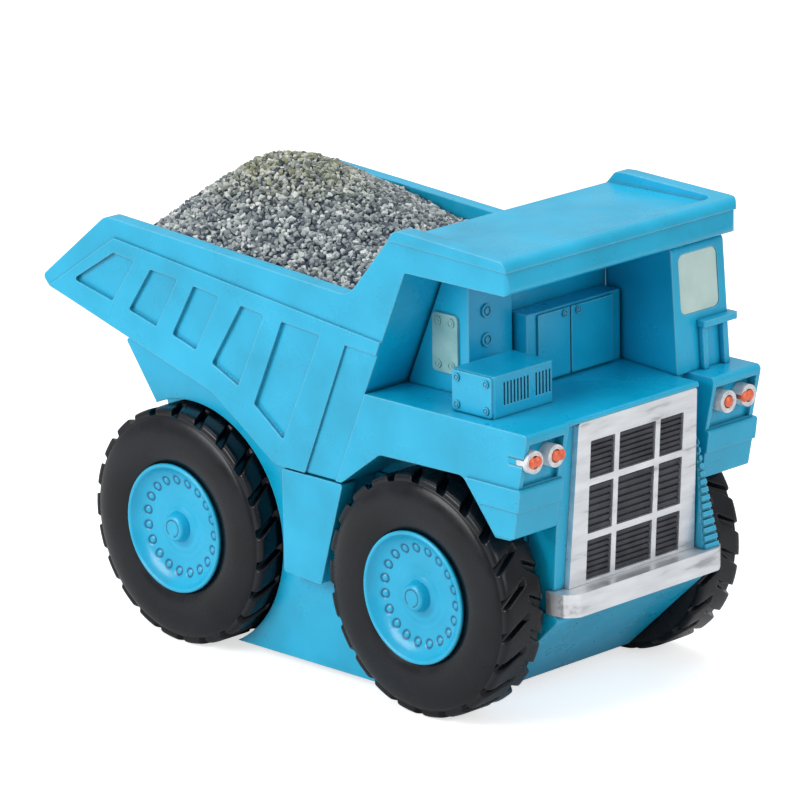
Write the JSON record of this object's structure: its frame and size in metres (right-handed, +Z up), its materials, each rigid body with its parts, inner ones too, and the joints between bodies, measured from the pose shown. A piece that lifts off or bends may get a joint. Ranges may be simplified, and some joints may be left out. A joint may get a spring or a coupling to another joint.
{
  "type": "toy dump truck",
  "caption": "Chunky toy quarry dump truck: hinged ribbed tipping bed with canopy and bonded gravel heap, side cab, framed grille, deck gear, lugged tyres on rolling axles.",
  "frame": {"origin": "on the floor under the middle of the truck's overall box, where the tyres stand", "axes": "+X forward towards the grille, +Y to the truck's left (the cab side), +Z up"},
  "size_m": [0.2144, 0.1096, 0.1506],
  "materials": {
    "body_blue": "satin sky-blue paint",
    "wheel_blue": "satin sky-blue paint",
    "tyre": "glossy black",
    "steel": "bright drawn wire",
    "silver_paint": "silver paint",
    "grille_black": "satin black paint",
    "lens_orange": "glossy orange-red",
    "window_green": "pale grey-green paint",
    "plate_silver_green": "silvery green paint",
    "gravel": "rough crushed stone"
  },
  "bodies": {
    "chassis": {"chassis": "body_blue", "base_plate": "body_blue", "base_screws": "steel", "side_tank_left": "body_blue", "side_tank_right": "body_blue", "front_body": "body_blue", "front_bumper": "silver_paint", "grille_frame": "silver_paint", "radiator_grille": "grille_black", "headlight_bezels": "silver_paint", "headlight_lenses": "lens_orange", "boarding_ladder": "body_blue", "cab_shell": "body_blue", "cab_windscreen": "window_green", "cab_side_window": "window_green", "grab_rail": "body_blue", "air_cleaner_box": "body_blue", "air_cleaner_cover": "body_blue", "cover_bolts": "body_blue", "equipment_housing": "body_blue", "access_plate": "plate_silver_green", "access_plate_bolts": "plate_silver_green", "housing_bolts": "body_blue", "equipment_cabinet": "body_blue", "cabinet_door_inner": "body_blue", "cabinet_door_outer": "body_blue", "door_latches": "body_blue"},
    "front_wheelset": {"front_axle": "steel", "front_left_rim": "wheel_blue", "front_left_tyre": "tyre", "front_left_hub_cap": "wheel_blue", "front_right_rim": "wheel_blue", "front_right_tyre": "tyre", "front_right_hub_cap": "wheel_blue"},
    "rear_wheelset": {"rear_axle": "steel", "rear_left_rim": "wheel_blue", "rear_left_tyre": "tyre", "rear_left_hub_cap": "wheel_blue", "rear_right_rim": "wheel_blue", "rear_right_tyre": "tyre", "rear_right_hub_cap": "wheel_blue"},
    "tipper": {"dump_bed": "body_blue", "bed_hinge_pin": "steel", "gravel_load": "gravel"}
  },
  "joints": [
    {"name": "front_wheels_roll", "type": "hinge", "parent": "chassis", "child": "front_wheelset", "pos_m": [0.0607, 0, 0.0382], "axis": [0, 1, 0], "continuous": true},
    {"name": "rear_wheels_roll", "type": "hinge", "parent": "chassis", "child": "rear_wheelset", "pos_m": [-0.0449, 0, 0.0382], "axis": [0, 1, 0], "continuous": true},
    {"name": "bed_tip", "type": "hinge", "parent": "chassis", "child": "tipper", "pos_m": [-0.0689, 0, 0.0894], "axis": [0, -1, 0], "range_deg": [0, 45]}
  ]
}
